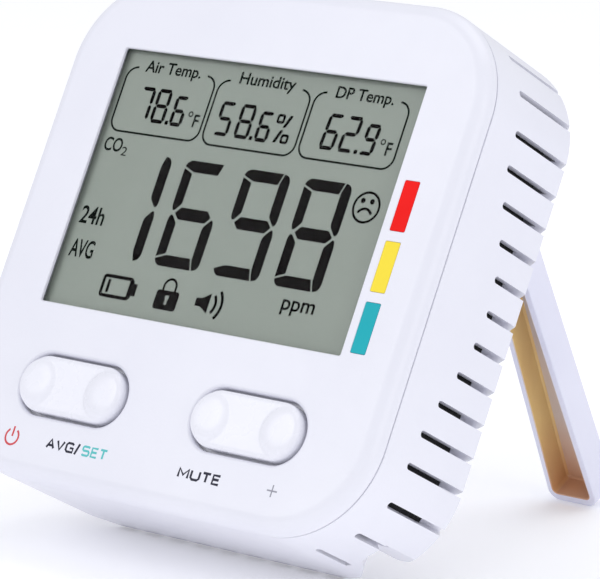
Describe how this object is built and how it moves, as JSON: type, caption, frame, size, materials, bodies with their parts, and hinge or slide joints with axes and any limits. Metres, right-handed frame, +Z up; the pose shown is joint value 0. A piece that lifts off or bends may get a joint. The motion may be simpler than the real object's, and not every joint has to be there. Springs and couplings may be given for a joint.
{
  "type": "desktop carbon dioxide monitor",
  "caption": "Desktop air quality monitor: rounded square case leaning back on a folding two-legged stand, large display, two rocker keys, slotted vents down both sides.",
  "frame": {"origin": "middle of the footprint on the table, with the monitor standing on its rear bottom edge and its two feet", "axes": "+X to the right seen from the front, -Y towards the user, +Z up"},
  "size_m": [0.1236, 0.1276, 0.1292],
  "materials": {
    "white_shell": "satin, fine moulded texture",
    "key_cap": "semi-gloss",
    "clear_window": "clear polished",
    "lcd": "grey-green reflective display",
    "mark_red": "printed inlay",
    "mark_yellow": "printed inlay",
    "mark_teal": "printed inlay",
    "inner_plastic": "matte",
    "contact_rubber": "matte",
    "circuit_board": "solder mask",
    "black_plastic": "matte",
    "gold_cell": "bright plated",
    "steel": "plated",
    "lamp_glass": "clear",
    "filter_white": "porous membrane",
    "cell_sleeve": "printed sleeve"
  },
  "bodies": {
    "case": {"front_cover": "white_shell", "rear_housing": "white_shell", "vent_screen_left": "black_plastic", "vent_screen_right": "black_plastic", "display_window": "clear_window", "lcd_panel": "lcd", "lcd_holder": "inner_plastic", "lcd_contact_strip": "contact_rubber", "mark_red": "mark_red", "mark_yellow": "mark_yellow", "mark_teal": "mark_teal", "left_key_pin": "steel", "right_key_pin": "steel", "switch_power": "black_plastic", "switch_set": "black_plastic", "switch_mute": "black_plastic", "switch_plus": "black_plastic", "main_board": "circuit_board", "controller_chip": "black_plastic", "buzzer": "black_plastic", "humidity_sensor": "inner_plastic", "gas_cell": "gold_cell", "gas_cell_lamp": "lamp_glass", "gas_detector": "steel", "gas_inlet_filter": "filter_white", "power_inlet": "black_plastic", "inlet_pin": "steel", "case_screw_1": "steel", "case_screw_2": "steel", "case_screw_3": "steel", "case_screw_4": "steel", "board_screw_1": "steel", "board_screw_2": "steel", "board_screw_3": "steel", "board_screw_4": "steel", "cell_1": "cell_sleeve", "cell_2": "cell_sleeve", "cell_3": "cell_sleeve", "cell_spring_1": "steel", "cell_spring_2": "steel", "cell_spring_3": "steel", "cell_contact_plate": "steel", "stand_pin_left": "steel", "stand_pin_right": "steel"},
    "stand": {"stand": "white_shell"},
    "left_key": {"left_key": "key_cap"},
    "right_key": {"right_key": "key_cap"},
    "battery_door": {"battery_door": "white_shell"}
  },
  "joints": [
    {"name": "stand_fold", "type": "hinge", "parent": "case", "child": "stand", "pos_m": [0, 0.0179, 0.09162], "axis": [1, 0, 0], "range_deg": [-54.1, 0]},
    {"name": "left_key_rock", "type": "hinge", "parent": "case", "child": "left_key", "pos_m": [-0.0263, -0.04888, 0.03716], "axis": [0, 0.4848, 0.8746], "range_deg": [-2.5, 2.5], "stiffness_Nm_per_rad": 0.3},
    {"name": "right_key_rock", "type": "hinge", "parent": "case", "child": "right_key", "pos_m": [0.0263, -0.04888, 0.03716], "axis": [0, 0.4848, 0.8746], "range_deg": [-2.5, 2.5], "stiffness_Nm_per_rad": 0.3},
    {"name": "battery_door_swing", "type": "hinge", "parent": "case", "child": "battery_door", "pos_m": [0, -0.02671, 0.0027], "axis": [1, 0, 0], "range_deg": [-60, 0]}
  ]
}
